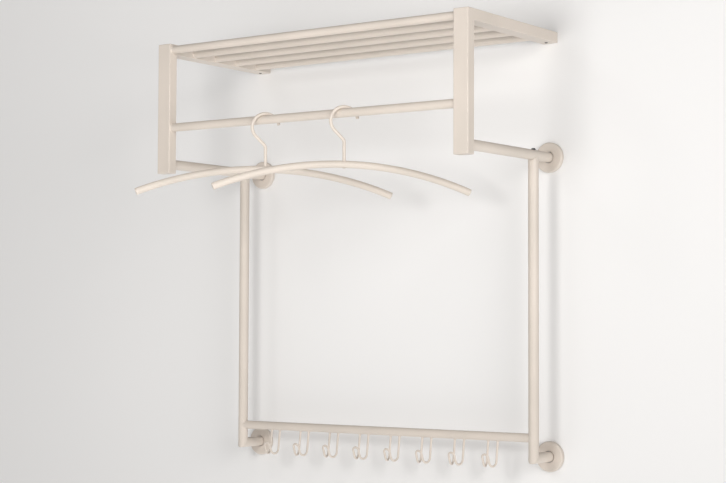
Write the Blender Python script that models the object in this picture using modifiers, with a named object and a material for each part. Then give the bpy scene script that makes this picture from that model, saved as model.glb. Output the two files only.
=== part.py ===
"""Wall coat rack with a hat shelf, a hanger rail, a lower ladder with wire hooks and two coat hangers.

Blender 4.5, metres, +Z up. The wall is the plane Y = 0 and the rack stands out from it towards -Y.
The origin is on the wall, midway between the two lower wall plates. Run it in Blender's text editor
or with: blender --background --python part.py
"""

import math

import bmesh
import bpy
from mathutils import Vector

# ---- driving dimensions, in metres ---------------------------------------------------------------
GAP = 0.0003                      # between pieces that touch or are welded
FRAME_WIDTH = 0.670               # between the centre lines of the left and right sides
FRONT_Y = -0.296                  # centre line of posts, hanger rail and first shelf bar
TOP_Z = 0.7715                    # upper face of the top arms

BAR_WIDE = 0.030                  # rectangular tube of posts and top arms, side to side
BAR_DEEP = 0.020                  # and the other way
BAR_WALL = 0.0015
BAR_CORNER = 0.0015
POST_FOOT_Z = 0.5233

SHELF_TUBE_R = 0.0075
SHELF_BARS = 5
SHELF_PITCH = 0.0635
SHELF_Z = TOP_Z - 0.011

RAIL_R = 0.008                    # hanger rail and bottom rail
THIN_WALL = 0.0012                # of the rails, the shelf bars and the hangers' tubes
HANGER_RAIL_Z = 0.611
BOTTOM_RAIL_Z = 0.036

ARM_R = 0.0095                    # lower arms, uprights and stubs
ARM_WALL = 0.0015
LOWER_ARM_Z = 0.542
UPRIGHT_Y = -0.062
STUB_Z = 0.0

PLATE_R = 0.0235
PLATE_THICK = 0.003
SPIGOT_R = ARM_R - ARM_WALL - GAP
SPIGOT_LONG = 0.020
SPIGOT_CHAMFER = 0.001
PLATE_SCREW_OFFSET = 0.0165       # from the spigot's centre line, to each side
WALL_SCREW_R = 0.002
WALL_SCREW_HEAD_R = 0.004
WALL_SCREW_HEAD_HIGH = 0.0022

ROSE_R = 0.0275
ROSE_DEEP = 0.008
ROSE_WALL = 0.0012
ROSE_HOLE_R = ARM_R + 0.0012
ROSE_ROUND = 0.003
ROSE_ROUND_STEPS = 3

BLOCK_LONG = 0.024
BLOCK_PLAY = 0.0005               # between the block and the inside of the top arm
BLOCK_HEAD_R = 0.0045             # counterbore for the wall screw's head
BLOCK_HEAD_DEEP = 0.005
CLAMP_Y = -0.015
CLAMP_SCREW_R = 0.0027
CLAMP_SCREW_LONG = 0.0072         # its foot stands out a little under the arm
CLAMP_HOLE_DEEP = 0.0046          # into the block

UPRIGHT_SCREW_R = 0.0028
UPRIGHT_SCREW_HEAD_R = 0.0045
UPRIGHT_SCREW_HEAD_HIGH = 0.0024
INSERT_LONG = 0.012

HEAD_CROWN = 0.6                  # flat top of a screw's head, as a share of its radius
HEAD_EDGE = 0.55                  # height of its upright rim, as a share of the head's height
SOCKET_SHARE = 0.45               # hexagon socket, as a share of the head's radius

HOOK_WIRE_R = 0.002
HOOKS = 8
HOOK_PITCH = 0.0716
HOOK_LEG_SPACING = 0.020
HOOK_BEND_R = 0.0095              # of the bend forward, at the wire's centre line
HOOK_INWARD = 0.21                # sideways for each metre forward: the bend brings the fronts together
HOOK_DROP = 0.0452                # from the rail's underside to the lowest point of the centre line
HOOK_LEG_LEAN = 7.5               # degrees that the legs lean forward
HOOK_FRONT_LEAN = 20.0            # degrees that the front leans outward
HOOK_ARCH = 0.0169                # from the bend to the top of the arch, along its lean
HOOK_BEND_STEPS = 5
HOOK_ARCH_STEPS = 6

HANGER_SPAN = 0.470
HANGER_RISE = 0.045               # of the tube's middle over its ends
HANGER_TUBE_R = 0.0065
HANGER_TOP_Z = 0.520              # centre line at the stem
HANGER_WIRE_R = 0.003
HANGER_HOOK_R = 0.0248            # of the hook's round, at the wire's centre line
HANGER_NECK_R = 0.010             # of the bend from the hook into the stem
HANGER_TIP_ANGLE = 9              # degrees over the level of the round's centre
HANGER_HOOK_LEAN = 45             # degrees that the hook's straight part leans before the neck
HANGER_TUBE_STEPS = 18
HANGER_HOOK_STEPS = 14
HANGER_NECK_STEPS = 3
RIVET_R = 0.0034
RIVET_HIGH = 0.001
RIVET_CROWN = 0.7                 # flat end of the rivet, as a share of its radius
HANGERS = (                       # name, the stem's X, the turn from the rail's line in degrees
    ("hanger_1", 0.0856, 51.1),
    ("hanger_2", -0.0929, 46.0),
)

TUBE_SIDES = 20
SCREW_SIDES = 12
BAR_CORNER_STEPS = 3
SHARP = math.radians(35)          # edges bent more than this stay sharp when shaded
CUT_PAST = 0.005                  # how far a bore's cutter runs past the tube's ends
MITRE_REACH = 0.05                # half the width of the block that cuts a mitre
WELD_DISTANCE = 0.00001           # between points that count as one

HALF_WIDTH = FRAME_WIDTH / 2
INNER_X = HALF_WIDTH - BAR_WIDE / 2 - GAP
POST_FRONT_Y = FRONT_Y - BAR_DEEP / 2
POST_BACK_Y = FRONT_Y + BAR_DEEP / 2
SIDES = (("left", -1), ("right", 1))
FINISHES = {                      # colour, roughness, metallic
    "coat": ((0.74, 0.66, 0.56), 0.45, 0.0),
    "black": ((0.02, 0.02, 0.02), 0.35, 0.0),
    "zinc": ((0.62, 0.62, 0.60), 0.35, 1.0),
}


# ---- the scene and the tools that shape it ---------------------------------------------------------
for old in list(bpy.data.objects):
    bpy.data.objects.remove(old, do_unlink=True)

rack = bpy.data.collections.new("wall_coat_rack")
cutters = bpy.data.collections.new("cutters")
cutters.hide_render = True
for made in (rack, cutters):
    bpy.context.scene.collection.children.link(made)


def add(name, data, kind=None):
    """Puts a mesh or curve in the scene: a part when it has a finish, a cutter when it has none."""
    obj = bpy.data.objects.new(name, data)
    if kind is None:
        obj.hide_render = True
        obj.display_type = "WIRE"
        cutters.objects.link(obj)
        return obj
    colour, roughness, metallic = FINISHES[kind]
    material = bpy.data.materials.new(name)
    material.use_nodes = True
    shader = material.node_tree.nodes["Principled BSDF"]
    shader.inputs["Base Color"].default_value = (*colour, 1.0)
    shader.inputs["Roughness"].default_value = roughness
    shader.inputs["Metallic"].default_value = metallic
    data.materials.append(material)
    rack.objects.link(obj)
    return obj


def add_bmesh(name, bm, kind=None):
    mesh = bpy.data.meshes.new(name)
    bm.to_mesh(mesh)
    bm.free()
    return add(name, mesh, kind)


def smooth(obj):
    """Shades a round piece smooth and keeps its rims sharp."""
    obj.data.shade_smooth()
    obj.data.set_sharp_from_angle(angle=SHARP)
    return obj


def aim(obj, place, direction):
    """Puts the object's own origin at place and its +Z along direction."""
    obj.rotation_mode = "QUATERNION"
    obj.rotation_quaternion = Vector(direction).to_track_quat("Z", "Y")
    obj.location = place
    return obj


def cut(target, cutter):
    """Takes the cutter's shape out of the target."""
    modifier = target.modifiers.new(cutter.name, "BOOLEAN")
    modifier.operation = "DIFFERENCE"
    modifier.solver = "EXACT"
    modifier.object = cutter
    return target


def box(name, low, high, kind=None, corner=0.0, along=2):
    """A box between two corners. Its edges along one axis are rounded when a corner radius is given."""
    low, high = Vector(low), Vector(high)
    bm = bmesh.new()
    bmesh.ops.create_cube(bm, size=1.0)
    bmesh.ops.scale(bm, verts=bm.verts, vec=high - low)
    if corner:
        longways = [e for e in bm.edges if abs(e.verts[0].co[along] - e.verts[1].co[along]) > corner]
        round_off = {"offset": corner, "segments": BAR_CORNER_STEPS, "profile": 0.5}
        bmesh.ops.bevel(bm, geom=longways, affect="EDGES", material=-1, **round_off)
    obj = add_bmesh(name, bm, kind)
    obj.location = (low + high) / 2
    return obj


def rod(name, radius, start, end, kind=None, sides=TUBE_SIDES):
    """A cylinder from start to end."""
    start, end = Vector(start), Vector(end)
    length = (end - start).length
    bm = bmesh.new()
    bmesh.ops.create_cone(bm, cap_ends=True, segments=sides, radius1=radius, radius2=radius, depth=length)
    bmesh.ops.translate(bm, verts=bm.verts, vec=(0, 0, length / 2))
    return smooth(aim(add_bmesh(name, bm, kind), start, end - start))


def tube(name, radius, wall, start, end):
    """A round tube with open ends."""
    start, end = Vector(start), Vector(end)
    past = (end - start).normalized() * CUT_PAST
    outside = rod(name, radius, start, end, "coat")
    return cut(outside, rod(f"{name}_bore", radius - wall, start - past, end + past))


def mitre(target, point, direction):
    """Takes off everything beyond the plane through point, on the side that direction points to."""
    direction = Vector(direction).normalized()
    bm = bmesh.new()
    bmesh.ops.create_cube(bm, size=2 * MITRE_REACH)
    bmesh.ops.translate(bm, verts=bm.verts, vec=(0, 0, MITRE_REACH))
    block = add_bmesh(f"{target.name}_mitre", bm)
    return cut(target, aim(block, Vector(point) - direction * GAP / 2, direction))


def turned(name, profile, place, direction, kind, closed=False, steps=TUBE_SIDES):
    """A turned piece. Its profile is (radius, height), down the outer side; a closed one makes a ring."""
    bm = bmesh.new()
    points = [bm.verts.new((radius, 0, height)) for radius, height in profile]
    for above, below in zip(points, points[1:] + points[:1] if closed else points[1:]):
        bm.edges.new((above, below))
    obj = aim(add_bmesh(name, bm, kind), place, direction)
    screw = obj.modifiers.new("turn", "SCREW")
    screw.steps = steps
    screw.render_steps = steps
    screw.use_merge_vertices = True
    screw.merge_threshold = WELD_DISTANCE
    return obj


def arc(centre, radius, start, end, steps):
    """Points (across, up) along an arc, from one angle to another in degrees."""
    angles = [math.radians(start + (end - start) * i / steps) for i in range(steps + 1)]
    return [(centre[0] + radius * math.cos(a), centre[1] + radius * math.sin(a)) for a in angles]


def wire(name, points, radius, kind=None, resolution=2):
    """A round wire along the points, with closed ends."""
    curve = bpy.data.curves.new(name, "CURVE")
    curve.dimensions = "3D"
    curve.bevel_depth = radius
    curve.bevel_resolution = resolution
    curve.use_fill_caps = True
    spline = curve.splines.new("POLY")
    spline.points.add(len(points) - 1)
    for target, point in zip(spline.points, points):
        target.co = (*point, 1.0)
    return add(name, curve, kind)


def as_mesh(curve_object):
    """The wire made a welded mesh, so that it can be cut or be a cutter."""
    bpy.context.view_layer.update()
    graph = bpy.context.evaluated_depsgraph_get()
    mesh = bpy.data.meshes.new_from_object(curve_object.evaluated_get(graph))
    bm = bmesh.new()
    bm.from_mesh(mesh)
    bmesh.ops.remove_doubles(bm, verts=bm.verts, dist=WELD_DISTANCE)
    bm.to_mesh(mesh)
    bm.free()
    name = curve_object.name
    home = curve_object.users_collection[0]
    obj = bpy.data.objects.new(f"{name}_mesh", mesh)
    obj.matrix_world = curve_object.matrix_world.copy()
    obj.hide_render = curve_object.hide_render
    obj.display_type = curve_object.display_type
    home.objects.link(obj)
    bpy.data.objects.remove(curve_object, do_unlink=True)
    obj.name = name
    return obj


def screw(name, place, direction, head_r, head_high, shank_r, shank_long, kind):
    """A round-headed screw whose head sits on place, head towards direction, with a hexagon socket."""
    profile = [(0, head_high), (head_r * HEAD_CROWN, head_high), (head_r, head_high * HEAD_EDGE)]
    profile += [(head_r, 0), (shank_r, 0), (shank_r, -shank_long), (0, -shank_long)]
    made = turned(name, profile, place, direction, kind, steps=SCREW_SIDES)
    return cut(made, socket(name, Vector(place), Vector(direction), head_high, head_r * SOCKET_SHARE))


def socket(name, place, direction, top, radius):
    """The cutter for a hexagon socket, as deep as it is wide."""
    low, high = place + direction * (top - radius), place + direction * (top + radius)
    return rod(f"{name}_socket", radius, low, high, sides=6)


# ---- front posts and top arms: rectangular tube, mitred at the upper front corner --------------------
def build_post(side, x):
    half = BAR_WIDE / 2
    low, high = (x - half, POST_FRONT_Y, POST_FOOT_Z), (x + half, POST_BACK_Y, TOP_Z)
    post = box(f"{side}_post", low, high, "coat", BAR_CORNER)
    inner_low = (x - half + BAR_WALL, POST_FRONT_Y + BAR_WALL, POST_FOOT_Z + BAR_WALL)
    inner_high = (x + half - BAR_WALL, POST_BACK_Y - BAR_WALL, TOP_Z + BAR_WALL)
    cut(post, box(f"{side}_post_hollow", inner_low, inner_high))
    mitre(post, (x, POST_FRONT_Y, TOP_Z), (0, 1, 1))


def build_top_arm(side, x):
    half = BAR_WIDE / 2
    under = TOP_Z - BAR_DEEP
    low, high = (x - half, POST_FRONT_Y, under), (x + half, -GAP, TOP_Z)
    arm = box(f"{side}_top_arm", low, high, "coat", BAR_CORNER, 1)
    inner_low = (x - half + BAR_WALL, POST_FRONT_Y - BAR_WALL, under + BAR_WALL)
    inner_high = (x + half - BAR_WALL, BAR_WALL, TOP_Z - BAR_WALL)
    cut(arm, box(f"{side}_top_arm_hollow", inner_low, inner_high))
    mitre(arm, (x, POST_FRONT_Y, TOP_Z), (0, -1, -1))
    hole_foot, hole_top = (x, CLAMP_Y, under - BAR_WALL), (x, CLAMP_Y, under + 2 * BAR_WALL)
    cut(arm, rod(f"{side}_clamp_hole", CLAMP_SCREW_R + GAP, hole_foot, hole_top))


# ---- wall blocks inside the top arms, with the screw to the wall and the clamping screw from below ----
def build_wall_block(side, x):
    half = BAR_WIDE / 2 - BAR_WALL - BLOCK_PLAY
    floor = TOP_Z - BAR_DEEP + BAR_WALL + BLOCK_PLAY
    middle = TOP_Z - BAR_DEEP / 2
    low, high = (x - half, -BLOCK_LONG, floor), (x + half, 0, TOP_Z - BAR_WALL - BLOCK_PLAY)
    block = box(f"{side}_wall_block", low, high, "zinc")
    head_seat = -BLOCK_LONG + BLOCK_HEAD_DEEP
    cut(block, rod(f"{side}_block_bore", WALL_SCREW_R + GAP, (x, -BLOCK_LONG, middle), (x, GAP, middle)))
    front = -BLOCK_LONG - GAP
    cut(block, rod(f"{side}_block_head", BLOCK_HEAD_R, (x, front, middle), (x, head_seat, middle)))
    hole_top = floor + CLAMP_HOLE_DEEP
    mouth = (x, CLAMP_Y, floor - BAR_WALL)
    cut(block, rod(f"{side}_block_clamp", CLAMP_SCREW_R + GAP, mouth, (x, CLAMP_Y, hole_top)))
    seat = (x, head_seat - GAP, middle)
    size = (WALL_SCREW_HEAD_R, WALL_SCREW_HEAD_HIGH, WALL_SCREW_R, -seat[1])
    screw(f"{side}_block_screw", seat, (0, -1, 0), *size, "zinc")

    top = hole_top - GAP
    name = f"{side}_clamp_screw"
    foot = (x, CLAMP_Y, top - CLAMP_SCREW_LONG)
    clamp = rod(name, CLAMP_SCREW_R, foot, (x, CLAMP_Y, top), "black", SCREW_SIDES)
    down = Vector((0, 0, -1))
    cut(clamp, socket(name, Vector((x, CLAMP_Y, top)), down, CLAMP_SCREW_LONG, CLAMP_SCREW_R / 2))


# ---- hat shelf and rails -----------------------------------------------------------------------------
def build_shelf():
    for i in range(SHELF_BARS):
        y = FRONT_Y + i * SHELF_PITCH
        ends = ((-INNER_X, y, SHELF_Z), (INNER_X, y, SHELF_Z))
        tube(f"shelf_bar_{i + 1}", SHELF_TUBE_R, THIN_WALL, *ends)


def build_rails():
    ends = ((-INNER_X, FRONT_Y, HANGER_RAIL_Z), (INNER_X, FRONT_Y, HANGER_RAIL_Z))
    tube("hanger_rail", RAIL_R, THIN_WALL, *ends)
    ends = ((-HALF_WIDTH, UPRIGHT_Y, BOTTOM_RAIL_Z), (HALF_WIDTH, UPRIGHT_Y, BOTTOM_RAIL_Z))
    rail = tube("bottom_rail", RAIL_R, THIN_WALL, *ends)
    for (side, _), end in zip(SIDES, ends):
        reach = Vector((0, 0, 2 * ARM_R))
        cut(rail, rod(f"bottom_rail_{side}_cope", ARM_R + GAP, Vector(end) - reach, Vector(end) + reach))


# ---- lower arms, uprights and stubs: round tube ------------------------------------------------------
def build_side_tubes(side, x):
    tube_back = -PLATE_THICK - GAP
    arm_front = POST_BACK_Y + GAP
    ends = ((x, arm_front, LOWER_ARM_Z), (x, tube_back, LOWER_ARM_Z))
    arm = tube(f"{side}_lower_arm", ARM_R, ARM_WALL, *ends)
    above = (x, UPRIGHT_Y, LOWER_ARM_Z + 2 * ARM_R)
    below = (x, UPRIGHT_Y, LOWER_ARM_Z - 2 * ARM_R)
    cut(arm, rod(f"{side}_arm_hole", UPRIGHT_SCREW_R + 2 * GAP, below, above))

    foot = STUB_Z - 2 * ARM_R
    upright = tube(f"{side}_upright", ARM_R, ARM_WALL, (x, UPRIGHT_Y, LOWER_ARM_Z), (x, UPRIGHT_Y, foot))
    front, back = (x, UPRIGHT_Y - 2 * ARM_R, LOWER_ARM_Z), (x, UPRIGHT_Y + 2 * ARM_R, LOWER_ARM_Z)
    cut(upright, rod(f"{side}_upright_cope", ARM_R + GAP, front, back))
    corner = (x, UPRIGHT_Y, STUB_Z)
    mitre(upright, corner, (0, 1, -1))

    ends = ((x, UPRIGHT_Y - 2 * ARM_R, STUB_Z), (x, tube_back, STUB_Z))
    stub = tube(f"{side}_lower_stub", ARM_R, ARM_WALL, *ends)
    mitre(stub, corner, (0, -1, 1))


def build_upright_screw(side, x):
    """The black screw on top of the lower arm and the threaded insert that it pulls on."""
    insert_top = LOWER_ARM_Z - ARM_R - 2 * GAP
    top, foot = (x, UPRIGHT_Y, insert_top), (x, UPRIGHT_Y, insert_top - INSERT_LONG)
    insert = rod(f"{side}_upright_insert", SPIGOT_R, top, foot, "zinc")
    down = Vector((0, 0, -GAP))
    thread = rod(f"{side}_insert_thread", UPRIGHT_SCREW_R + GAP, Vector(top) - down, Vector(foot) + down)
    cut(insert, thread)
    seat = (x, UPRIGHT_Y, LOWER_ARM_Z + ARM_R + GAP)
    shank = seat[2] - foot[2]
    size = (UPRIGHT_SCREW_HEAD_R, UPRIGHT_SCREW_HEAD_HIGH, UPRIGHT_SCREW_R, shank)
    screw(f"{side}_upright_screw", seat, (0, 0, 1), *size, "black")


# ---- wall plates with their screws, and the roses that cover them --------------------------------------
def build_wall_fixing(name, x, z):
    out = (0, -1, 0)
    end = PLATE_THICK + SPIGOT_LONG
    profile = [(0, end), (SPIGOT_R - SPIGOT_CHAMFER, end), (SPIGOT_R, end - SPIGOT_CHAMFER)]
    profile += [(SPIGOT_R, PLATE_THICK), (PLATE_R, PLATE_THICK), (PLATE_R, 0), (0, 0)]
    plate = turned(f"{name}_wall_plate", profile, (x, 0, z), out, "zinc")
    for label, across in (("a", -PLATE_SCREW_OFFSET), ("b", PLATE_SCREW_OFFSET)):
        hole_front, hole_back = (x + across, -2 * PLATE_THICK, z), (x + across, GAP, z)
        cut(plate, rod(f"{name}_hole_{label}", WALL_SCREW_R + GAP, hole_front, hole_back))
        seat = (x + across, -PLATE_THICK - GAP, z)
        size = (WALL_SCREW_HEAD_R, WALL_SCREW_HEAD_HIGH, WALL_SCREW_R, PLATE_THICK + GAP)
        screw(f"{name}_plate_screw_{label}", seat, out, *size, "zinc")

    shoulder = (ROSE_R - ROSE_ROUND, ROSE_DEEP - ROSE_ROUND)
    profile = [(ROSE_HOLE_R, ROSE_DEEP)] + arc(shoulder, ROSE_ROUND, 90, 0, ROSE_ROUND_STEPS) + [(ROSE_R, 0)]
    profile += [(ROSE_R - ROSE_WALL, 0)] + arc(shoulder, ROSE_ROUND - ROSE_WALL, 0, 90, ROSE_ROUND_STEPS - 1)
    profile += [(ROSE_HOLE_R, ROSE_DEEP - ROSE_WALL)]
    turned(f"{name}_rose", profile, (x, 0, z), out, "coat", closed=True)


# ---- wire hooks under the bottom rail ------------------------------------------------------------------
def build_wire_hook(number, x):
    """Two legs down, a bend forward, inward and up, and a narrow leaning arch that joins both fronts."""
    half = HOOK_LEG_SPACING / 2
    leg_top = -RAIL_R - GAP
    bend_z = -RAIL_R - HOOK_DROP + HOOK_BEND_R
    lean, front = math.radians(HOOK_LEG_LEAN), math.radians(HOOK_FRONT_LEAN)
    leg_long = (leg_top - bend_z + HOOK_BEND_R * math.sin(lean)) / math.cos(lean)
    bend_y = -HOOK_BEND_R * math.cos(lean) - leg_long * math.sin(lean)
    bend = arc((bend_y, bend_z), HOOK_BEND_R, -HOOK_LEG_LEAN, HOOK_FRONT_LEAN - 180, HOOK_BEND_STEPS)
    leg_foot_y = bend[0][0]
    left = [(-half, 0, leg_top)] + [(-half + HOOK_INWARD * (leg_foot_y - y), y, z) for y, z in bend]
    right = [(-across, y, z) for across, y, z in reversed(left)]
    arch_half, front_y, front_z = right[0]
    arch = []
    for across, along in arc((0, HOOK_ARCH - arch_half), arch_half, 180, 0, HOOK_ARCH_STEPS):
        arch.append((across, front_y - along * math.sin(front), front_z + along * math.cos(front)))
    hook = wire(f"wire_hook_{number}", left + arch + right, HOOK_WIRE_R, "coat")
    hook.location = (x, UPRIGHT_Y, BOTTOM_RAIL_Z)


# ---- coat hangers: a curved tube on a wire hook, each in a frame that turns about its stem ---------------
def build_hanger(name, x, turn):
    swivel = bpy.data.objects.new(f"{name}_swivel", None)
    swivel.location = (x, FRONT_Y, 0)
    swivel.rotation_euler = (0, 0, math.radians(turn))
    rack.objects.link(swivel)

    half = HANGER_SPAN / 2
    radius = (half**2 + HANGER_RISE**2) / (2 * HANGER_RISE)
    spread = math.degrees(math.asin(half / radius))
    inner_spread = math.degrees(math.asin((half - THIN_WALL) / radius))
    centre = (0, HANGER_TOP_Z - radius)
    paths = []
    for angle in (spread, inner_spread):
        bow = arc(centre, radius, 90 + angle, 90 - angle, HANGER_TUBE_STEPS)
        paths.append([(across, 0, z) for across, z in bow])
    bar = as_mesh(wire(f"{name}_bar", paths[0], HANGER_TUBE_R, "coat", 3))
    bore = as_mesh(wire(f"{name}_bar_bore", paths[1], HANGER_TUBE_R - THIN_WALL, resolution=3))
    hole_foot = (0, 0, HANGER_TOP_Z - 2 * HANGER_TUBE_R)
    hole_top = (0, 0, HANGER_TOP_Z + 2 * HANGER_TUBE_R)
    hole = rod(f"{name}_stem_hole", HANGER_WIRE_R + GAP, hole_foot, hole_top)
    cut(cut(bar, bore), hole)

    apex_z = HANGER_RAIL_Z + RAIL_R + GAP + HANGER_WIRE_R
    round_z = apex_z - HANGER_HOOK_R
    stem_foot = HANGER_TOP_Z - HANGER_TUBE_R
    lean = math.radians(HANGER_HOOK_LEAN)
    path = arc((0, round_z), HANGER_HOOK_R, HANGER_TIP_ANGLE, 180 + HANGER_HOOK_LEAN, HANGER_HOOK_STEPS)
    left_across, left_z = path[-1]
    straight = (-left_across - HANGER_NECK_R * (1 - math.cos(lean))) / math.tan(lean)
    neck_z = left_z - straight - HANGER_NECK_R * math.sin(lean)
    path += arc((-HANGER_NECK_R, neck_z), HANGER_NECK_R, HANGER_HOOK_LEAN, 0, HANGER_NECK_STEPS)
    path += [(0, stem_foot)]
    hook = wire(f"{name}_hook", [(across, 0, z) for across, z in path], HANGER_WIRE_R, "coat", 3)

    rivet_top = stem_foot - GAP
    profile = [(0, 0), (RIVET_R, 0), (RIVET_R, -RIVET_HIGH / 2)]
    profile += [(RIVET_R * RIVET_CROWN, -RIVET_HIGH), (0, -RIVET_HIGH)]
    rivet = turned(f"{name}_rivet", profile, (0, 0, rivet_top), (0, 0, 1), "coat", steps=SCREW_SIDES)
    for piece in (bar, bore, hole, hook, rivet):
        piece.parent = swivel


# ---- the whole rack --------------------------------------------------------------------------------------
for side, sign in SIDES:
    side_x = sign * HALF_WIDTH
    build_post(side, side_x)
    build_top_arm(side, side_x)
    build_wall_block(side, side_x)
    build_side_tubes(side, side_x)
    build_upright_screw(side, side_x)
    build_wall_fixing(f"{side}_upper", side_x, LOWER_ARM_Z)
    build_wall_fixing(f"{side}_lower", side_x, STUB_Z)

build_shelf()
build_rails()
for index in range(HOOKS):
    build_wire_hook(index + 1, (index - (HOOKS - 1) / 2) * HOOK_PITCH)
for hanger in HANGERS:
    build_hanger(*hanger)
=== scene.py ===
"""The looks of a wall coat rack with a hat shelf, a hanger rail, wire hooks and two coat hangers.

Metres, +Z up. The wall is the plane Y = 0 and the rack stands out from it towards -Y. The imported
model gives every place and size, and each section below finishes one group of its parts.
"""

import math

import bmesh
import bpy
from mathutils import Matrix, Vector


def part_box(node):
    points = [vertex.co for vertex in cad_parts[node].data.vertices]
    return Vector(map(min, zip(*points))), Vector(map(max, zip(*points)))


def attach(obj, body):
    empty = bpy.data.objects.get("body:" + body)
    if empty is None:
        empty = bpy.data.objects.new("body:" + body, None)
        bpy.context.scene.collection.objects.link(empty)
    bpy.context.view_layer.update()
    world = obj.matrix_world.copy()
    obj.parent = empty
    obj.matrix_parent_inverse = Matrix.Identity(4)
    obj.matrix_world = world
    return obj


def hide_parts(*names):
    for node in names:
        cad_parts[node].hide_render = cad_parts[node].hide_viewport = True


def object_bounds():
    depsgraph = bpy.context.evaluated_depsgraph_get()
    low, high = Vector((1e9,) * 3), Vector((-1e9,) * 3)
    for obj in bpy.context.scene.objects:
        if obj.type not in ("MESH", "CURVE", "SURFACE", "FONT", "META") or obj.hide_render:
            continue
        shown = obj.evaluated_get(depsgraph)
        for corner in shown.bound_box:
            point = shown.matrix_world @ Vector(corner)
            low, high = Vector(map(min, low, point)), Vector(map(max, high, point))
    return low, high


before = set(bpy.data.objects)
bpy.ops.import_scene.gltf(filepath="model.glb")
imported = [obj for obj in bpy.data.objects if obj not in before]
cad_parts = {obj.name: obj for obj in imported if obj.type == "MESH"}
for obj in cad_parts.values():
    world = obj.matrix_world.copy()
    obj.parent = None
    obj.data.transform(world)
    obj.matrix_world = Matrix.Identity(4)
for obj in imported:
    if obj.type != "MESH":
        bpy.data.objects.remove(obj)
cad_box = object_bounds()


# ---- the view -------------------------------------------------------------------------------------
# A short telephoto lens, low and to the right of the rack, looks a little upward. The picture keeps
# its colours as they are lit, without a film look.
CAMERA_PLACE = (1.8555, -2.7062, 0.2365)
CAMERA_PAN = math.radians(35.64)     # to the left of straight at the wall
CAMERA_TILT = math.radians(2.81)
CAMERA_ROLL = math.radians(0.21)
CAMERA_LENS = 84.19                  # mm, on a sensor 36 mm wide

camera_data = bpy.data.cameras.new("camera")
camera_data.sensor_width = 36
camera_data.lens = CAMERA_LENS
camera = bpy.data.objects.new("camera", camera_data)
bpy.context.scene.collection.objects.link(camera)
aimed = Matrix.Rotation(CAMERA_PAN, 4, "Z") @ Matrix.Rotation(math.pi / 2 + CAMERA_TILT, 4, "X")
camera.matrix_world = Matrix.Translation(CAMERA_PLACE) @ aimed @ Matrix.Rotation(CAMERA_ROLL, 4, "Z")
bpy.context.scene.camera = camera
bpy.context.scene.view_settings.view_transform = "Standard"


# ---- the studio -------------------------------------------------------------------------------------
# A painted plaster wall and a pale floor far below it. A small soft light stands close in front, a
# weaker one high on the left, a large one on the right, and even light comes from all round.
WALL_WIDE = 14.0
WALL_TOP = 4.0
FLOOR_Z = -1.25
WALL_BEHIND = 0.0006                 # behind the plates, so that the two don't share a face
WALL_COLOUR = "#F4F2F0"
FLOOR_COLOUR = "#DAD8D5"
CLOUD_TONE = "#D2D0CC"
FLOOR_GLOW = 0.55                    # stands for the lamps that light the floor alone
SURROUND_COLOUR = "#ECEBE9"
LIGHT_BELOW = 0.93                   # off the floor
LIGHT_ABOVE = 0.26                   # off the ceiling
PLASTER_GRAIN = 0.012                # of a fine roller finish; 12 mm, coarse enough to show
STUDIO_LIGHTS = (                    # name, place, width in metres, watts
    ("key_light", (0.18, -1.57, 0.56), 0.42, 5.9),
    ("side_light", (-1.38, -2.61, 2.27), 0.7, 4.8),
    ("fill_light", (3.2, -1.8, 0.9), 2.2, 64),
)


def srgb(colour):
    """An sRGB hex colour as linear red, green, blue and alpha."""
    parts = [int(colour[i : i + 2], 16) / 255 for i in (1, 3, 5)]
    return (*(p / 12.92 if p <= 0.04045 else ((p + 0.055) / 1.055) ** 2.4 for p in parts), 1.0)


def new_finish(name):
    """A material with its node tree and its shader."""
    finish = bpy.data.materials.new(name)
    finish.use_nodes = True
    return finish, finish.node_tree, finish.node_tree.nodes["Principled BSDF"]


def add_node(tree, kind, settings, links):
    """Adds a node. Settings name its properties and sockets, and links the sockets that feed it."""
    made = tree.nodes.new(kind)
    for name, value in settings.items():
        if isinstance(name, int) or name in made.inputs:
            made.inputs[name].default_value = value
        else:
            setattr(made, name, value)
    for name, source in links.items():
        tree.links.new(made.inputs[name], source)
    return made


def stage_plane(name, wide, deep, place, finish):
    """A flat plane for the studio, with its face along its own +Z."""
    bm = bmesh.new()
    bmesh.ops.create_grid(bm, x_segments=1, y_segments=1, size=0.5)
    bmesh.ops.scale(bm, verts=bm.verts, vec=(wide, deep, 1))
    mesh = bpy.data.meshes.new(name)
    bm.to_mesh(mesh)
    bm.free()
    mesh.transform(place)
    mesh.materials.append(finish)
    plane = bpy.data.objects.new(name, mesh)
    bpy.context.scene.collection.objects.link(plane)
    return plane


# Matt emulsion on plaster: no gloss, and a roller's fine stipple that only shows as a soft grain.
# The back of the wall is clear, so that the rack's own back can be looked at.
plaster, tree, shader = new_finish("matt_wall_paint")
coordinates = add_node(tree, "ShaderNodeTexCoord", {}, {})
stipple = add_node(
    tree,
    "ShaderNodeTexNoise",
    {"Scale": 1 / PLASTER_GRAIN, "Detail": 3},
    {"Vector": coordinates.outputs["Object"]},
)
bump = add_node(
    tree,
    "ShaderNodeBump",
    {"Strength": 0.05, "Distance": 0.0004},
    {"Height": stipple.outputs["Fac"]},
)
shader.inputs["Base Color"].default_value = srgb(WALL_COLOUR)
shader.inputs["Roughness"].default_value = 0.9
shader.inputs["Specular IOR Level"].default_value = 0.1
tree.links.new(shader.inputs["Normal"], bump.outputs["Normal"])
side_seen = add_node(tree, "ShaderNodeNewGeometry", {}, {})
clear = add_node(tree, "ShaderNodeBsdfTransparent", {}, {})
one_sided = add_node(
    tree,
    "ShaderNodeMixShader",
    {},
    {0: side_seen.outputs["Backfacing"], 1: shader.outputs[0], 2: clear.outputs[0]},
)
tree.links.new(tree.nodes["Material Output"].inputs["Surface"], one_sided.outputs[0])

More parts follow.
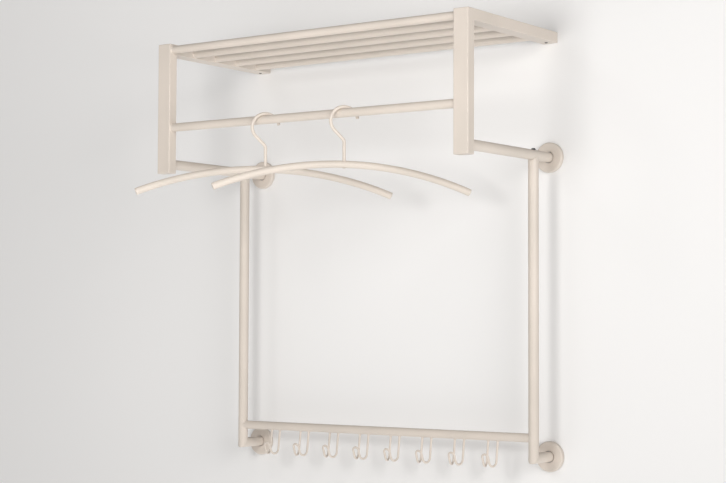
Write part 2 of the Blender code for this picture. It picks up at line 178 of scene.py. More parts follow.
upright_plane = Matrix.Rotation(math.pi / 2, 4, "X")
wall_place = Matrix.Translation((0, WALL_BEHIND, (WALL_TOP + FLOOR_Z) / 2)) @ upright_plane
wall = stage_plane("wall", WALL_WIDE, WALL_TOP - FLOOR_Z, wall_place, plaster)

# Pale sealed screed: a faint cloudy tone, a dull sheen, and lamps of its own that keep it bright.
screed, tree, shader = new_finish("sealed_screed")
coordinates = add_node(tree, "ShaderNodeTexCoord", {}, {})
clouds = add_node(
    tree,
    "ShaderNodeTexNoise",
    {"Scale": 3, "Detail": 4},
    {"Vector": coordinates.outputs["Object"]},
)
tones = add_node(
    tree,
    "ShaderNodeMix",
    {"data_type": "RGBA", 6: srgb(FLOOR_COLOUR), 7: srgb(CLOUD_TONE)},
    {0: clouds.outputs["Fac"]},
)
tree.links.new(shader.inputs["Base Color"], tones.outputs[2])
shader.inputs["Roughness"].default_value = 0.7
tree.links.new(shader.inputs["Emission Color"], tones.outputs[2])
shader.inputs["Emission Strength"].default_value = FLOOR_GLOW
floor = stage_plane("floor", WALL_WIDE, WALL_WIDE, Matrix.Translation((0, 0, FLOOR_Z)), screed)

# Both are only a backdrop. They leave no shadow, reflection or bounce on the rack.
for plane in (wall, floor):
    plane.visible_shadow = False
    plane.visible_diffuse = False
    plane.visible_glossy = False
    plane.visible_transmission = False

# The light from all round is strong from below, off a bright floor, and weak from the dark ceiling.
# The camera itself sees a plain pale surround.
world = bpy.data.worlds.new("studio")
world.use_nodes = True
tree = world.node_tree
direction = add_node(tree, "ShaderNodeTexCoord", {}, {})
height = add_node(tree, "ShaderNodeSeparateXYZ", {}, {"Vector": direction.outputs["Generated"]})
below = add_node(
    tree,
    "ShaderNodeMapRange",
    {"From Min": 0.15, "From Max": -0.5},
    {"Value": height.outputs["Z"]},
)
surround = add_node(
    tree,
    "ShaderNodeMix",
    {"data_type": "RGBA", 6: (*[LIGHT_ABOVE] * 3, 1.0), 7: (*[LIGHT_BELOW] * 3, 1.0)},
    {0: below.outputs["Result"]},
)
ray = add_node(tree, "ShaderNodeLightPath", {}, {})
seen = add_node(
    tree,
    "ShaderNodeMix",
    {"data_type": "RGBA", 7: srgb(SURROUND_COLOUR)},
    {0: ray.outputs["Is Camera Ray"], 6: surround.outputs[2]},
)
tree.links.new(tree.nodes["Background"].inputs["Color"], seen.outputs[2])
bpy.context.scene.world = world

rack_middle = (cad_box[0] + cad_box[1]) / 2
for name, place, wide, watts in STUDIO_LIGHTS:
    light = bpy.data.lights.new(name, "AREA")
    light.shape = "DISK"
    light.size = wide
    light.energy = watts
    lamp = bpy.data.objects.new(name, light)
    lamp.location = place
    lamp.rotation_euler = (rack_middle - Vector(place)).to_track_quat("-Z", "Y").to_euler()
    lamp.visible_camera = False
    bpy.context.scene.collection.objects.link(lamp)


# ---- side frames -----------------------------------------------------------------------------------
# Each is a post and a top arm of rectangular steel tube, mitred at the upper front corner, welded and
# ground flush. The post's foot is closed, and the arm is open at the wall for the block inside it.
SIDES = ("left", "right")
RACK_TONES = ("#DED2C6", "#D5CABE")
BAR_CORNER = 0.0015
BAR_WALL = 0.0015
MOUTH_DEEP = 0.027                   # how far the tube is seen to be hollow from the wall
EDGE_STEPS = 4
FLAT_EDGE = 0.0007                   # keeps the flat faces flat beside their rounded corners
FLAT_AREA = 0.004                    # square metres; the wide faces are all larger
SHARP_ANGLE = math.radians(40)       # edges bent more than this stay sharp when shaded
CLAMP_HOLE_R = 0.003
CLAMP_HOLE_DEEP = 0.00135


def powder_coat(name, light_tone, dark_tone):
    """Sand coloured polyester powder, sprayed on and baked: a satin skin with an even colour."""
    finish, tree, shader = new_finish(name)
    coordinates = add_node(tree, "ShaderNodeTexCoord", {}, {})
    # The colour drifts by a shade over a hand's width, where the film is thicker or thinner.
    drift = add_node(
        tree,
        "ShaderNodeTexNoise",
        {"Scale": 1 / 0.09, "Detail": 2, "Roughness": 0.4},
        {"Vector": coordinates.outputs["Object"]},
    )
    # The powder's grains melt into a skin with a fine mottle; 1.5 mm, coarser than the real half.
    mottle = add_node(
        tree,
        "ShaderNodeTexNoise",
        {"Scale": 1 / 0.0015, "Detail": 2, "Roughness": 0.6},
        {"Vector": coordinates.outputs["Object"]},
    )
    blend = add_node(
        tree,
        "ShaderNodeMix",
        {"data_type": "FLOAT", 0: 0.3},
        {2: drift.outputs["Fac"], 3: mottle.outputs["Fac"]},
    )
    spread = add_node(
        tree,
        "ShaderNodeMapRange",
        {"From Min": 0.35, "From Max": 0.65},
        {"Value": blend.outputs[0]},
    )
    tones = add_node(
        tree,
        "ShaderNodeMix",
        {"data_type": "RGBA", 6: srgb(dark_tone), 7: srgb(light_tone)},
        {0: spread.outputs["Result"]},
    )
    # The satin breaks up a little, as the skin does.
    satin = add_node(
        tree,
        "ShaderNodeMapRange",
        {"From Min": 0.3, "From Max": 0.7, "To Min": 0.40, "To Max": 0.52},
        {"Value": mottle.outputs["Fac"]},
    )
    # Orange peel: low waves about 1.2 mm long.
    peel = add_node(
        tree,
        "ShaderNodeTexNoise",
        {"Scale": 1 / 0.0024, "Detail": 1},
        {"Vector": coordinates.outputs["Object"]},
    )
    waves = add_node(
        tree,
        "ShaderNodeBump",
        {"Strength": 0.25, "Distance": 0.00006},
        {"Height": peel.outputs["Fac"]},
    )
    tree.links.new(shader.inputs["Base Color"], tones.outputs[2])
    tree.links.new(shader.inputs["Roughness"], satin.outputs["Result"])
    tree.links.new(shader.inputs["Normal"], waves.outputs["Normal"])
    shader.inputs["IOR"].default_value = 1.5
    return finish


def finish_piece(name, bm, finish, body, stands_for):
    """Makes the bmesh a piece of the rack, which rides on its body and stands for its CAD nodes."""
    bmesh.ops.recalc_face_normals(bm, faces=bm.faces)
    mesh = bpy.data.meshes.new(name)
    bm.to_mesh(mesh)
    bm.free()
    mesh.materials.append(finish)
    mesh.shade_smooth()
    mesh.set_sharp_from_angle(angle=SHARP_ANGLE)
    piece = bpy.data.objects.new(name, mesh)
    bpy.context.scene.collection.objects.link(piece)
    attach(piece, body)
    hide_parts(*stands_for)
    return piece


def push_face(bm, face):
    """Extrudes a face in place and returns the new one. A lone face stays, as the piece's start."""
    alone = all(len(edge.link_faces) == 1 for edge in face.edges)
    made = bmesh.ops.extrude_face_region(bm, geom=[face])["geom"]
    if not alone:
        bmesh.ops.delete(bm, geom=[face], context="FACES_ONLY")
    return next(item for item in made if isinstance(item, bmesh.types.BMFace))


def punch(bm, centre, radius, deep):
    """Sinks a round blind hole up into the flat underside that centre lies on."""
    # A square is cut out of the underside round the centre, and a smaller one set inside it.
    for across in (Vector((1, 0, 0)), Vector((0, 1, 0))):
        for shift in (-2 * radius, 2 * radius):
            under = [f for f in bm.faces if abs(f.calc_center_median().z - centre.z) < 0.00001]
            around = {item for f in under for item in (f, *f.edges, *f.verts)}
            cut_at = centre + across * shift
            bmesh.ops.bisect_plane(bm, geom=list(around), dist=0.000001, plane_co=cut_at, plane_no=across)
    square = min(bm.faces, key=lambda f: (f.calc_center_median() - centre).length)
    bmesh.ops.inset_individual(bm, faces=[square], thickness=radius * 0.6)
    # The smaller one is divided, rounded and pushed in.
    bmesh.ops.subdivide_edges(bm, edges=list(square.edges), cuts=5)
    square = min(bm.faces, key=lambda f: (f.calc_center_median() - centre).length)
    for corner in square.verts:
        corner.co = centre + (corner.co - centre).normalized() * radius
    bmesh.ops.translate(bm, verts=push_face(bm, square).verts, vec=(0, 0, deep))


rack_coat = powder_coat("sand_powder_coat", *RACK_TONES)

for side in SIDES:
    post_low, post_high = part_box(f"{side}_post")
    arm_low, arm_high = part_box(f"{side}_top_arm")
    post_middle = (post_low + post_high) / 2
    bm = bmesh.new()
    bmesh.ops.create_grid(bm, x_segments=1, y_segments=1, size=0.5)
    bmesh.ops.scale(bm, verts=bm.verts, vec=(post_high.x - post_low.x, post_high.y - post_low.y, 1))
    bmesh.ops.translate(bm, verts=bm.verts, vec=(post_middle.x, post_middle.y, post_low.z))
    bm.faces.ensure_lookup_table()
    mitre = push_face(bm, bm.faces[0])
    for corner in mitre.verts:
        corner.co.z = arm_high.z - (corner.co.y - post_low.y)
    mouth = push_face(bm, mitre)
    for corner in mouth.verts:
        corner.co.y = 0
    bmesh.ops.recalc_face_normals(bm, faces=bm.faces)

    # Every corner is rounded, but the mouth's rim and the inner corner of the mitre stay sharp.
    edges = [e for e in bm.edges if e.calc_face_angle() > 1 and e not in mouth.edges]
    across_edges = [e for e in edges if abs(e.verts[0].co.x - e.verts[1].co.x) > BAR_CORNER]
    inner_corner = Vector((post_middle.x, post_high.y, arm_low.z))
    edges.remove(min(across_edges, key=lambda e: ((e.verts[0].co + e.verts[1].co) / 2 - inner_corner).length))
    bmesh.ops.bevel(
        bm, geom=edges, offset=BAR_CORNER, segments=EDGE_STEPS, profile=0.5, affect="EDGES", material=-1
    )
    mouth = max(bm.faces, key=lambda f: f.calc_center_median().y)
    bmesh.ops.inset_individual(bm, faces=[mouth], thickness=BAR_WALL)
    bmesh.ops.translate(bm, verts=push_face(bm, mouth).verts, vec=(0, -MOUTH_DEEP, 0))

    flats = [f for f in bm.faces if f.calc_area() > FLAT_AREA]
    bmesh.ops.inset_individual(bm, faces=flats, thickness=FLAT_EDGE)
    clamp_low, clamp_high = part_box(f"{side}_clamp_screw")
    clamp_y = (clamp_low.y + clamp_high.y) / 2
    punch(bm, Vector((post_middle.x, clamp_y, arm_low.z)), CLAMP_HOLE_R, CLAMP_HOLE_DEEP)
    finish_piece(f"{side}_frame", bm, rack_coat, "frame", [f"{side}_post", f"{side}_top_arm"])


# ---- hat shelf and hanger rail ----------------------------------------------------------------------
# Five round steel tubes between the top arms and a slightly thicker one between the posts. Each end
# is welded all round and the coat softens the seam to a small fillet.
TUBE_SIDES = 48
SEAM = 0.0013                        # radius of the fillet at a weld
SEAM_STEPS = 3
FINISH_END = 0.006                   # of the straight part that follows a fillet


def turned_piece(profile, place, direction, steps=TUBE_SIDES):
    """A bmesh turned from a profile of (radius, height), then aimed along direction from place."""
    bm = bmesh.new()
    points = [bm.verts.new((radius, 0, height)) for radius, height in profile]
    outline = [bm.edges.new(pair) for pair in zip(points, points[1:])]
    bmesh.ops.spin(
        bm,
        geom=points + outline,
        cent=(0, 0, 0),
        axis=(0, 0, 1),
        angle=2 * math.pi,
        steps=steps,
        use_merge=True,
    )
    bmesh.ops.remove_doubles(bm, verts=bm.verts, dist=0.000001)
    turn = Vector(direction).to_track_quat("Z", "Y").to_matrix().to_4x4()
    bmesh.ops.transform(bm, matrix=Matrix.Translation(place) @ turn, verts=bm.verts)
    return bm


def fillet(radius, seam, steps):
    """The outline of a fillet from a flat face, at height 0, up to a tube of that radius."""
    angles = [math.pi * (1.5 - 0.5 * i / steps) for i in range(steps + 1)]
    return [(radius + seam + seam * math.cos(a), seam + seam * math.sin(a)) for a in angles]


def welded_tube(radius, start, end, seam_at_end=True):
    """A tube from start to end, with a fillet where it is welded to a flat face."""
    start, end = Vector(start), Vector(end)
    length = (end - start).length
    lower = fillet(radius, SEAM, SEAM_STEPS)
    upper = [(r, length - h) for r, h in reversed(lower)] if seam_at_end else [(radius, length)]
    straight = [(radius, FINISH_END), (radius, length - FINISH_END)]
    return turned_piece([(0, 0)] + lower + straight + upper + [(0, length)], start, end - start)


left_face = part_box("left_post")[1].x
right_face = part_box("right_post")[0].x
cross_tubes = [f"shelf_bar_{i}" for i in range(1, 6)] + ["hanger_rail"]
for name in cross_tubes:
    low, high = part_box(name)
    middle = (low + high) / 2
    ends = [(x, middle.y, middle.z) for x in (left_face, right_face)]
    bm = welded_tube((high.z - low.z) / 2, *ends)
    finish_piece(f"{name}_tube", bm, rack_coat, "frame", [name])


# ---- lower arms --------------------------------------------------------------------------------------
# Round steel tube from the back of each post to its wall plate, welded to the post. The other end
# slips over the plate's spigot, behind the rose.
for side in SIDES:
    low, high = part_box(f"{side}_lower_arm")
    middle = (low + high) / 2
    front = (middle.x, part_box(f"{side}_post")[1].y, middle.z)
    bm = welded_tube((high.z - low.z) / 2, front, (middle.x, high.y, middle.z), seam_at_end=False)
    finish_piece(f"{side}_lower_arm_tube", bm, rack_coat, "frame", [f"{side}_lower_arm"])


# ---- uprights ------------------------------------------------------------------------------------------
# Round steel tube, coped on top to sit under the lower arm, and mitred and welded at the foot to the
# stub that goes back to the wall.
COPE_GAP = 0.0004                    # between the upright's top and the arm
COPE_DEEP = 0.006                    # how far the upright is hollow, down from its top
TUBE_WALL = 0.0015
MITRE_SEAM = 0.0008

for side in SIDES:
    low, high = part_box(f"{side}_upright")
    arm_low, arm_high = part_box(f"{side}_lower_arm")
    stub_low, stub_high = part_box(f"{side}_lower_stub")
    radius = (high.x - low.x) / 2
    axis_x = (low.x + high.x) / 2
    axis_y = (low.y + high.y) / 2
    arm_z = (arm_low.z + arm_high.z) / 2
    stub_z = (stub_low.z + stub_high.z) / 2
    cope_r = (arm_high.z - arm_low.z) / 2 + COPE_GAP
    bm = bmesh.new()
    bmesh.ops.create_circle(bm, cap_ends=True, segments=TUBE_SIDES, radius=radius)
    bmesh.ops.translate(bm, verts=bm.verts, vec=(axis_x, axis_y, arm_z))
    bm.faces.ensure_lookup_table()
    top = bm.faces[0]
    foot = push_face(bm, top)
    for point in foot.verts:
        point.co.z = stub_z + point.co.y - axis_y
    back = push_face(bm, foot)
    for point in back.verts:
        point.co.y = stub_high.y
    hollow = push_face(bm, top)
    narrower = (radius - TUBE_WALL) / radius
    about_axis = Matrix.Translation((-axis_x, -axis_y, 0))
    bmesh.ops.scale(bm, vec=(narrower, narrower, 1), space=about_axis, verts=list(hollow.verts))
    for point in [v for v in bm.verts if abs(v.co.z - arm_z) < COPE_GAP]:
        point.co.z = arm_z - math.sqrt(cope_r**2 - (point.co.x - axis_x) ** 2)
    floor = push_face(bm, hollow)
    for point in floor.verts:
        point.co.z = arm_z - cope_r - COPE_DEEP
    bmesh.ops.recalc_face_normals(bm, faces=bm.faces)
    elbow = [e for e in bm.edges if all(abs(v.co.z - stub_z - v.co.y + axis_y) < 1e-6 for v in e.verts)]
    bmesh.ops.bevel(bm, geom=elbow, offset=MITRE_SEAM, segments=2, profile=0.5, affect="EDGES", material=-1)
    stands_for = [f"{side}_upright", f"{side}_lower_stub"]
    finish_piece(f"{side}_upright_tube", bm, rack_coat, "frame", stands_for)


# ---- bottom rail -------------------------------------------------------------------------------------
# Round steel tube between the uprights, coped to them and welded all round.
low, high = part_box("bottom_rail")
rail_r = (high.z - low.z) / 2
rail_y = (low.y + high.y) / 2
rail_z = (low.z + high.z) / 2
upright_x = [sum(corner.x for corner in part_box(f"{side}_upright")) / 2 for side in SIDES]
upright_r = (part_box("left_upright")[1].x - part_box("left_upright")[0].x) / 2
bm = welded_tube(rail_r, *[(x, rail_y, rail_z) for x in upright_x])
for point in bm.verts:
    end_x = min(upright_x, key=lambda x: abs(point.co.x - x))
    from_end = abs(point.co.x - end_x)
    inward = -1 if end_x > 0 else 1
    # The seam wraps round the upright, and the rings after it only make room for that.
    if from_end < FINISH_END - SEAM / 2:
        point.co.x += inward * math.sqrt(upright_r**2 - (point.co.y - rail_y) ** 2)
    elif from_end < 2 * FINISH_END:
        point.co.x += inward * upright_r
finish_piece("bottom_rail_tube", bm, rack_coat, "frame", ["bottom_rail"])


# ---- roses -----------------------------------------------------------------------------------------
# Pressed steel cups that slide on the arms and stubs and cover the wall plates. The rim is rolled over
# from the face to the skirt, and the hole leaves a dark line round the tube.
ROSE_ROUND = 0.003
ROSE_SKIN = 0.0012
ROSE_STEPS = 6
ROSE_SIDES = 72
HOLE_PLAY = 0.0012                   # all round between the hole and the tube


def arc(centre, radius, start, end, steps):
    """Points (across, up) along an arc from one angle to another."""
    angles = [start + (end - start) * i / steps for i in range(steps + 1)]
    return [(centre[0] + radius * math.cos(a), centre[1] + radius * math.sin(a)) for a in angles]


for side in SIDES:
    for level, tube_name in (("upper", "lower_arm"), ("lower", "lower_stub")):
        name = f"{side}_{level}_rose"
        low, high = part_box(name)
        middle = (low + high) / 2
        tube_low, tube_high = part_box(f"{side}_{tube_name}")
        rose_r = (high.x - low.x) / 2
        deep = high.y - low.y
        hole_r = (tube_high.x - tube_low.x) / 2 + HOLE_PLAY
        shoulder = (rose_r - ROSE_ROUND, deep - ROSE_ROUND)
        outside = arc(shoulder, ROSE_ROUND, math.pi / 2, 0, ROSE_STEPS)
        inside = arc(shoulder, ROSE_ROUND - ROSE_SKIN, 0, math.pi / 2, ROSE_STEPS)
        profile = [(hole_r, deep)] + outside + [(rose_r, 0), (rose_r - ROSE_SKIN, 0)] + inside
        profile += [(hole_r, deep - ROSE_SKIN), (hole_r, deep)]
        bm = turned_piece(profile, (middle.x, high.y, middle.z), (0, -1, 0), ROSE_SIDES)
        finish_piece(f"{name}_cup", bm, rack_coat, name, [name])


# ---- wire hooks --------------------------------------------------------------------------------------
# Each is one steel wire, welded by its two legs under the bottom rail, bent forward and up, and closed
# by a narrow arch that leans out, so that a collar or a strap slips behind it.
WIRE_R = 0.002
WIRE_SIDES = 20
LEG_SPACING = 0.020
BEND_R = 0.0095
INWARD = 0.21                        # sideways for each metre forward, so that the fronts come close
HOOK_DROP = 0.0452                   # from the rail's underside to the lowest point of the wire's line
LEG_LEAN = math.radians(7.5)
FRONT_LEAN = math.radians(20)
ARCH_LONG = 0.0169                   # from the bend to the arch's top
BEND_STEPS = 16
ARCH_STEPS = 22
BEAD = (1.55, 1.3, 1.1, 1.0)         # the weld bead's size, in wires, going down the leg
BEAD_STEP = 0.0007
WIRE_ROOT = 0.0015                   # of the leg inside the rail


def swept_rod(path, radius, sides, sizes=None):
    """A bmesh of a round rod pushed along a path. Sizes, in radii, swell it at the path's points."""
    path = [Vector(point) for point in path]
    runs = [(there - here).normalized() for here, there in zip(path, path[1:])]
    headings = [runs[0]] + [(a + b).normalized() for a, b in zip(runs, runs[1:])] + [runs[-1]]
    sizes = sizes or [1.0] * len(path)
    bm = bmesh.new()
    bmesh.ops.create_circle(bm, cap_ends=True, segments=sides, radius=radius * sizes[0])
    turn = headings[0].to_track_quat("Z", "Y").to_matrix().to_4x4()
    bmesh.ops.transform(bm, matrix=Matrix.Translation(path[0]) @ turn, verts=bm.verts)
    bm.faces.ensure_lookup_table()
    face = bm.faces[0]
    for i in range(1, len(path)):
        face = push_face(bm, face)
        ring = list(face.verts)
        turn = headings[i - 1].rotation_difference(headings[i]).to_matrix()
        bmesh.ops.rotate(bm, cent=path[i - 1], matrix=turn, verts=ring)
        bmesh.ops.translate(bm, vec=path[i] - path[i - 1], verts=ring)
        if sizes[i] != sizes[i - 1]:
            grown = (sizes[i] / sizes[i - 1],) * 3
            bmesh.ops.scale(bm, vec=grown, space=Matrix.Translation(-path[i]), verts=ring)
    bmesh.ops.recalc_face_normals(bm, faces=bm.faces)
    return bm


leg_top = -rail_r
bend_z = leg_top - HOOK_DROP + BEND_R
leg_long = (leg_top - bend_z + BEND_R * math.sin(LEG_LEAN)) / math.cos(LEG_LEAN)
bend_y = -BEND_R * math.cos(LEG_LEAN) - leg_long * math.sin(LEG_LEAN)
bend = arc((bend_y, bend_z), BEND_R, -LEG_LEAN, FRONT_LEAN - math.pi, BEND_STEPS)
leg_down = Vector((0, -math.sin(LEG_LEAN), -math.cos(LEG_LEAN)))
leg_start = Vector((0, 0, leg_top))
bead_line = [leg_start + leg_down * (BEAD_STEP * i) for i in range(len(BEAD))]
leg = [leg_start - leg_down * WIRE_ROOT] + bead_line
leg_foot_y, _ = bend[0]
bend = [Vector((INWARD * (leg_foot_y - y), y, z)) for y, z in bend]
to_left = Vector((-LEG_SPACING / 2, 0, 0))
left_half = [point + to_left for point in leg + bend]
right_half = [Vector((-point.x, point.y, point.z)) for point in reversed(left_half)]
front = right_half[0]
outward = Vector((0, -math.sin(FRONT_LEAN), math.cos(FRONT_LEAN)))
arch = []
for across, along in arc((0, ARCH_LONG - front.x), front.x, math.pi, 0, ARCH_STEPS):
    arch.append(Vector((across, front.y, front.z)) + outward * along)
hook_line = left_half + arch + right_half
bead_sizes = [BEAD[0], *BEAD]
hook_sizes = bead_sizes + [1.0] * (len(hook_line) - 2 * len(bead_sizes)) + bead_sizes[::-1]

for name in [f"wire_hook_{i}" for i in range(1, 9)]:
    low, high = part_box(name)
    place = Vector(((low.x + high.x) / 2, rail_y, rail_z))
    bm = swept_rod([place + point for point in hook_line], WIRE_R, WIRE_SIDES, hook_sizes)
    finish_piece(f"{name}_wire", bm, rack_coat, "frame", [name])


# ---- coat hangers ------------------------------------------------------------------------------------
# A curved steel tube, closed at both ends, on a hook of round steel rod. The rod goes through the
# tube's top and is riveted over underneath. Both are coated like the rack.
HANGERS = (("hanger_1", 51.1), ("hanger_2", 46.0))     # and the turn from the rail's line, in degrees
HANGER_TONES = ("#DED2C6", "#D5CABE")
SPAN = 0.470
RISE = 0.045                         # of the tube's middle over its ends
BAR_R = 0.0065
BAR_STEPS = 56
BAR_END = 0.0009                     # the rounding of the tube's closed ends
ROD_R = 0.003
ROD_SIDES = 28
ROD_END = 0.0009
ROUND_R = 0.0248                     # of the hook's round, on the rod's line
NECK_R = 0.010                       # of the bend from the hook into the stem
TIP_ANGLE = math.radians(9)          # over the level of the round's centre
HOOK_LEAN = math.radians(45)         # of the straight part before the neck
ROUND_STEPS = 40
NECK_STEPS = 8
STEM_IN_BAR = 0.004
RIVET_SIDES = 32
RIVET_STEPS = 6

hanger_coat = powder_coat("sand_powder_coat_on_hangers", *HANGER_TONES)

for name, degrees in HANGERS:
    rivet_low, rivet_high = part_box(f"{name}_rivet")
    rivet_middle = (rivet_low + rivet_high) / 2
    stem_place = Matrix.Translation((rivet_middle.x, rivet_middle.y, 0))
    stem_line = stem_place @ Matrix.Rotation(math.radians(degrees), 4, "Z")

    bar_top = rivet_high.z + 2 * BAR_R
    bend_r = ((SPAN / 2) ** 2 + RISE**2) / (2 * RISE)
    spread = math.asin(SPAN / 2 / bend_r)
    line = arc((0, bar_top - BAR_R - bend_r), bend_r, math.pi / 2 + spread, math.pi / 2 - spread, BAR_STEPS)
    bm = swept_rod([stem_line @ Vector((across, 0, up)) for across, up in line], BAR_R, TUBE_SIDES)
    rims = [e for e in bm.edges if e.calc_face_angle() > 1]
    bmesh.ops.bevel(bm, geom=rims, offset=BAR_END, segments=3, profile=0.5, affect="EDGES", material=-1)
    finish_piece(f"{name}_bar_tube", bm, hanger_coat, f"{name}_bar", [f"{name}_bar"])

    round_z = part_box(f"{name}_hook")[1].z - ROD_R - ROUND_R
    line = arc((0, round_z), ROUND_R, TIP_ANGLE, math.pi + HOOK_LEAN, ROUND_STEPS)
    end_across, end_up = line[-1]
    straight = (-end_across - NECK_R * (1 - math.cos(HOOK_LEAN))) / math.tan(HOOK_LEAN)
    neck_z = end_up - straight - NECK_R * math.sin(HOOK_LEAN)
    line += arc((-NECK_R, neck_z), NECK_R, HOOK_LEAN, 0, NECK_STEPS)
    line.append((0, bar_top - STEM_IN_BAR))
    bm = swept_rod([stem_line @ Vector((across, 0, up)) for across, up in line], ROD_R, ROD_SIDES)
    rims = [e for e in bm.edges if e.calc_face_angle() > 1]
    bmesh.ops.bevel(bm, geom=rims, offset=ROD_END, segments=3, profile=0.5, affect="EDGES", material=-1)
    finish_piece(f"{name}_hook_rod", bm, hanger_coat, f"{name}_hook", [f"{name}_hook"])

    rivet_r = (rivet_high.x - rivet_low.x) / 2
    rivet_deep = rivet_high.z - rivet_low.z
    turns = [math.pi / 2 * i / RIVET_STEPS for i in range(RIVET_STEPS)]
    dome = [(rivet_r * math.cos(a), rivet_deep * math.sin(a)) for a in turns]
    profile = [(0, 0)] + dome + [(0, rivet_deep)]
    bm = turned_piece(profile, (rivet_middle.x, rivet_middle.y, rivet_high.z), (0, 0, -1), RIVET_SIDES)
    finish_piece(f"{name}_rivet_head", bm, hanger_coat, f"{name}_hook", [f"{name}_rivet"])


# ---- screws of the uprights and the top arms ------------------------------------------------------------
# Black zinc-plated steel: a button-headed screw on each lower arm pulls the upright up against it, and
# a headless one under each top arm holds it on its wall block. Both have hexagon sockets.
SCREW_SIDES = 36
SHANK_SHARE = 0.6                    # of the head's radius
SOCKET_SHARE = 0.5                   # of the head's radius
SOCKET_RIM = 1.25                    # radius of the flat round the socket, in sockets
SOCKET_DEEP = 0.0016
RIM_SHARE = 0.25                     # of the head's height that goes straight up
HEAD_TURNS = (0, 10, 20, 30, 40, 50)     # degrees round the head's dome
GRUB_EDGE_SHARE = 0.12               # chamfer of a headless screw, of its radius


def black_plating():
    """Zinc plating turned black in a bath: a dark semi-matt metal with a slightly uneven tone."""
    finish, tree, shader = new_finish("black_plated_steel")
    coordinates = add_node(tree, "ShaderNodeTexCoord", {}, {})
    bath = add_node(
        tree,
        "ShaderNodeTexNoise",
        {"Scale": 1 / 0.002, "Detail": 3},
        {"Vector": coordinates.outputs["Object"]},
    )
    tones = add_node(
        tree,
        "ShaderNodeMix",
        {"data_type": "RGBA", 6: srgb("#2E3034"), 7: srgb("#46494D")},
        {0: bath.outputs["Fac"]},
    )
    dulled = add_node(
        tree,
        "ShaderNodeMapRange",
        {"To Min": 0.32, "To Max": 0.5},
        {"Value": bath.outputs["Fac"]},
    )
    tree.links.new(shader.inputs["Base Color"], tones.outputs[2])
    tree.links.new(shader.inputs["Roughness"], dulled.outputs["Result"])
    shader.inputs["Metallic"].default_value = 0.8
    return finish


def sink_socket(bm, place, direction, radius, deep):
    """Turns the small disc round the screw's top into a hexagon socket."""
    place, direction = Vector(place), Vector(direction)
    discs = [f for f in bm.faces if len(f.verts) > 4]
    disc = max(discs, key=lambda f: (f.calc_center_median() - place).dot(direction))
    middle = disc.calc_center_median()
    first = (disc.verts[0].co - middle).normalized()
    for corner in disc.verts:
        spoke = corner.co - middle
        turn = spoke.angle(first) % (math.pi / 3)
        to_flat = radius * math.cos(math.pi / 6) / math.cos(turn - math.pi / 6)
        corner.co = middle + spoke.normalized() * to_flat
    floor = push_face(bm, disc)
    bmesh.ops.translate(bm, verts=floor.verts, vec=-direction * deep)


def capped_turn(profile, place, direction, steps):
    """A turned piece whose last ring is closed by one face."""
    bm = turned_piece(profile, place, direction, steps)
    bmesh.ops.holes_fill(bm, edges=[e for e in bm.edges if e.is_boundary], sides=0)
    return bm


black_screws = black_plating()

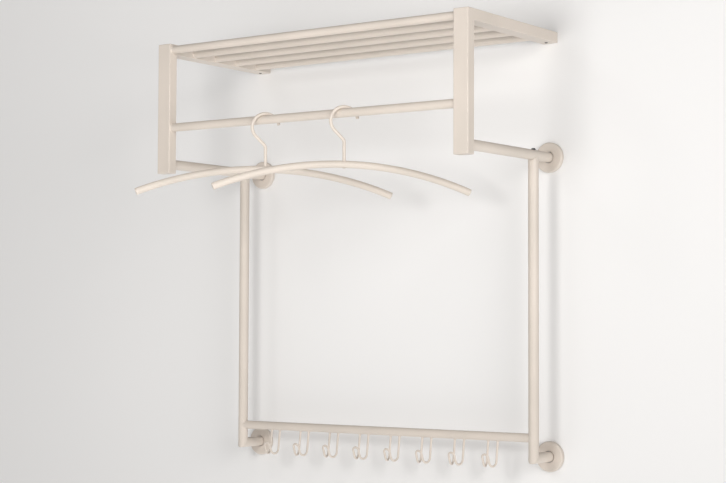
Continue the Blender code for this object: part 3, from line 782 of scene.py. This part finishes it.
for side in SIDES:
    name = f"{side}_upright_screw"
    low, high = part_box(name)
    arm_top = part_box(f"{side}_lower_arm")[1].z
    place = ((low.x + high.x) / 2, (low.y + high.y) / 2, arm_top)
    head_r = (high.x - low.x) / 2
    head_high = high.z - arm_top
    shank_r = head_r * SHANK_SHARE
    socket_r = head_r * SOCKET_SHARE
    turns = [math.radians(degrees) for degrees in HEAD_TURNS]
    dome = [(math.cos(a), RIM_SHARE + (1 - RIM_SHARE) * math.sin(a)) for a in turns]
    profile = [(0, low.z - arm_top), (shank_r, low.z - arm_top), (shank_r, 0), (head_r, 0)]
    profile += [(head_r * across, head_high * up) for across, up in dome]
    profile += [(socket_r * SOCKET_RIM, head_high), (socket_r, head_high)]
    bm = capped_turn(profile, place, (0, 0, 1), SCREW_SIDES)
    sink_socket(bm, place, (0, 0, 1), socket_r, SOCKET_DEEP)
    finish_piece(f"{name}_button", bm, black_screws, "frame", [name])

    name = f"{side}_clamp_screw"
    low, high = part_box(name)
    place = ((low.x + high.x) / 2, (low.y + high.y) / 2, high.z)
    grub_r = (high.x - low.x) / 2
    grub_long = high.z - low.z
    edge = grub_r * GRUB_EDGE_SHARE
    profile = [(0, 0), (grub_r - edge, 0), (grub_r, edge), (grub_r, grub_long - edge)]
    profile += [(grub_r - edge, grub_long), (grub_r * SOCKET_SHARE, grub_long)]
    bm = capped_turn(profile, place, (0, 0, -1), SCREW_SIDES)
    sink_socket(bm, place, (0, 0, -1), grub_r * SOCKET_SHARE, SOCKET_DEEP)
    finish_piece(f"{name}_grub", bm, black_screws, "frame", [name])


# ---- fixings at the wall ---------------------------------------------------------------------------------
# Plates with spigots, the blocks inside the top arms, threaded inserts and the screws to the wall.
# All are zinc-plated steel, hidden behind the roses and inside the tubes, and seen only from the back.
def bright_zinc():
    """Bright zinc plating: bluish silver, with the faint cloudy spangle that the bath leaves."""
    finish, tree, shader = new_finish("bright_zinc_plate")
    coordinates = add_node(tree, "ShaderNodeTexCoord", {}, {})
    spangle = add_node(
        tree,
        "ShaderNodeTexVoronoi",
        {"Scale": 1 / 0.004},
        {"Vector": coordinates.outputs["Object"]},
    )
    haze = add_node(
        tree,
        "ShaderNodeTexNoise",
        {"Scale": 1 / 0.003, "Detail": 4},
        {"Vector": coordinates.outputs["Object"]},
    )
    mixed = add_node(
        tree,
        "ShaderNodeMix",
        {"data_type": "FLOAT", 0: 0.6},
        {2: spangle.outputs["Distance"], 3: haze.outputs["Fac"]},
    )
    tones = add_node(
        tree,
        "ShaderNodeMix",
        {"data_type": "RGBA", 6: srgb("#B9BEC4"), 7: srgb("#D6D8D9")},
        {0: mixed.outputs[0]},
    )
    polish = add_node(
        tree,
        "ShaderNodeMapRange",
        {"To Min": 0.26, "To Max": 0.46},
        {"Value": mixed.outputs[0]},
    )
    tree.links.new(shader.inputs["Base Color"], tones.outputs[2])
    tree.links.new(shader.inputs["Roughness"], polish.outputs["Result"])
    shader.inputs["Metallic"].default_value = 1.0
    return finish


zinc = bright_zinc()
for name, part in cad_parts.items():
    if not part.hide_render:
        part.data.materials.clear()
        part.data.materials.append(zinc)
